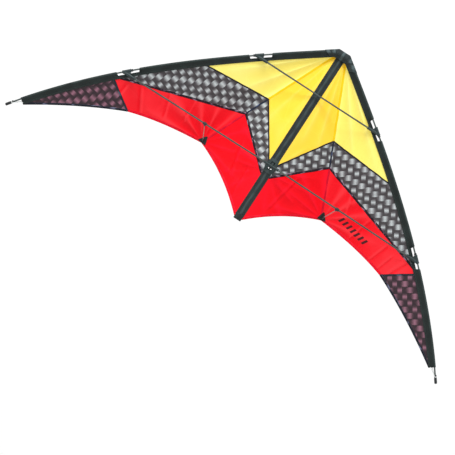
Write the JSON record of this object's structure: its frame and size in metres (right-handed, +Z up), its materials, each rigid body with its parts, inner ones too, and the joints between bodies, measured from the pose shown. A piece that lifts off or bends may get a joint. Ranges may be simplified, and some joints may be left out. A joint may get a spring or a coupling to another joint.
{
  "type": "delta kite",
  "caption": "Two-line delta sport kite: bowed leading edges, spine, spreaders and standoffs hold a sail of sewn panels in yellow, grey, red and plum.",
  "frame": {"origin": "middle of the centre tee's cross tube, where the bridle's centre leg is tied", "axes": "+X across to the right wing as the flyer sees it, +Y away from the flyer, +Z up the spine to the nose"},
  "size_m": [1.5574, 0.1138, 0.6926],
  "materials": {
    "yellow_ripstop": "ripstop",
    "grey_weave_print": "printed ripstop",
    "red_ripstop": "ripstop",
    "plum_weave_print": "printed ripstop",
    "black_webbing": "woven tape",
    "dark_rod": "pultruded rod",
    "moulded_rubber": "moulded",
    "vinyl_cap": "vinyl",
    "standoff_glassfibre": "glass fibre rod",
    "white_cord": "braided"
  },
  "bodies": {
    "centre": {"spine_rod": "dark_rod", "spine_top_cap": "vinyl_cap", "spine_bottom_cap": "vinyl_cap", "spine_sleeve": "black_webbing", "centre_patch": "black_webbing", "centre_tee": "moulded_rubber", "nose_patch": "black_webbing", "tail_strap": "black_webbing"},
    "left_wing": {"leading_edge_rod_left": "dark_rod", "leading_edge_cap_left": "vinyl_cap", "leading_edge_sleeve_left": "black_webbing", "nock_left": "vinyl_cap", "tension_cord_left": "white_cord", "upper_stop_clip_left": "vinyl_cap", "lower_stop_clip_left": "vinyl_cap", "trailing_edge_patch_left": "black_webbing", "yellow_inner_panel_left": "yellow_ripstop", "yellow_outer_panel_left": "yellow_ripstop", "grey_inner_panel_left": "grey_weave_print", "grey_outer_panel_left": "grey_weave_print", "red_inner_panel_left": "red_ripstop", "red_outer_panel_left": "red_ripstop", "tip_panel_left": "plum_weave_print"},
    "right_wing": {"leading_edge_rod_right": "dark_rod", "leading_edge_cap_right": "vinyl_cap", "leading_edge_sleeve_right": "black_webbing", "nock_right": "vinyl_cap", "tension_cord_right": "white_cord", "upper_stop_clip_right": "vinyl_cap", "lower_stop_clip_right": "vinyl_cap", "trailing_edge_patch_right": "black_webbing", "yellow_inner_panel_right": "yellow_ripstop", "yellow_outer_panel_right": "yellow_ripstop", "grey_inner_panel_right": "grey_weave_print", "grey_outer_panel_right": "grey_weave_print", "red_inner_panel_right": "red_ripstop", "red_outer_panel_right": "red_ripstop", "tip_panel_right": "plum_weave_print", "upper_connector_right": "moulded_rubber"},
    "upper_spreader_arm": {"upper_connector_left": "moulded_rubber", "upper_spreader": "dark_rod"},
    "lower_spreader_arm_left": {"lower_connector_left": "moulded_rubber", "lower_spreader_left": "dark_rod", "standoff_clamp_left": "moulded_rubber"},
    "standoff_left": {"standoff_rod_left": "standoff_glassfibre", "standoff_foot_left": "vinyl_cap"},
    "lower_spreader_arm_right": {"lower_connector_right": "moulded_rubber", "lower_spreader_right": "dark_rod", "standoff_clamp_right": "moulded_rubber"},
    "standoff_right": {"standoff_rod_right": "standoff_glassfibre", "standoff_foot_right": "vinyl_cap"}
  },
  "joints": [
    {"name": "left_wing_fold", "type": "hinge", "parent": "centre", "child": "left_wing", "pos_m": [0, 0.015, 0], "axis": [0, 0, -1], "range_deg": [0, 60]},
    {"name": "right_wing_fold", "type": "hinge", "parent": "centre", "child": "right_wing", "pos_m": [0, 0.015, 0], "axis": [0, 0, 1], "range_deg": [0, 60]},
    {"name": "upper_spreader_swing", "type": "hinge", "parent": "left_wing", "child": "upper_spreader_arm", "pos_m": [-0.21208, 0, 0.26198], "axis": [-0.7974, 0, -0.6035], "range_deg": [0, 110]},
    {"name": "left_lower_spreader_swing", "type": "hinge", "parent": "left_wing", "child": "lower_spreader_arm_left", "pos_m": [-0.52225, 0, 0.00235], "axis": [-0.725, 0, -0.6887], "range_deg": [0, 110]},
    {"name": "left_standoff_swing", "type": "hinge", "parent": "left_wing", "child": "standoff_left", "pos_m": [-0.2183, 0.09618, -0.0455], "axis": [-1, 0, 0], "range_deg": [0, 40]},
    {"name": "right_lower_spreader_swing", "type": "hinge", "parent": "right_wing", "child": "lower_spreader_arm_right", "pos_m": [0.52225, 0, 0.00235], "axis": [-0.725, 0, 0.6887], "range_deg": [0, 110]},
    {"name": "right_standoff_swing", "type": "hinge", "parent": "right_wing", "child": "standoff_right", "pos_m": [0.2183, 0.09618, -0.0455], "axis": [-1, 0, 0], "range_deg": [0, 40]}
  ]
}
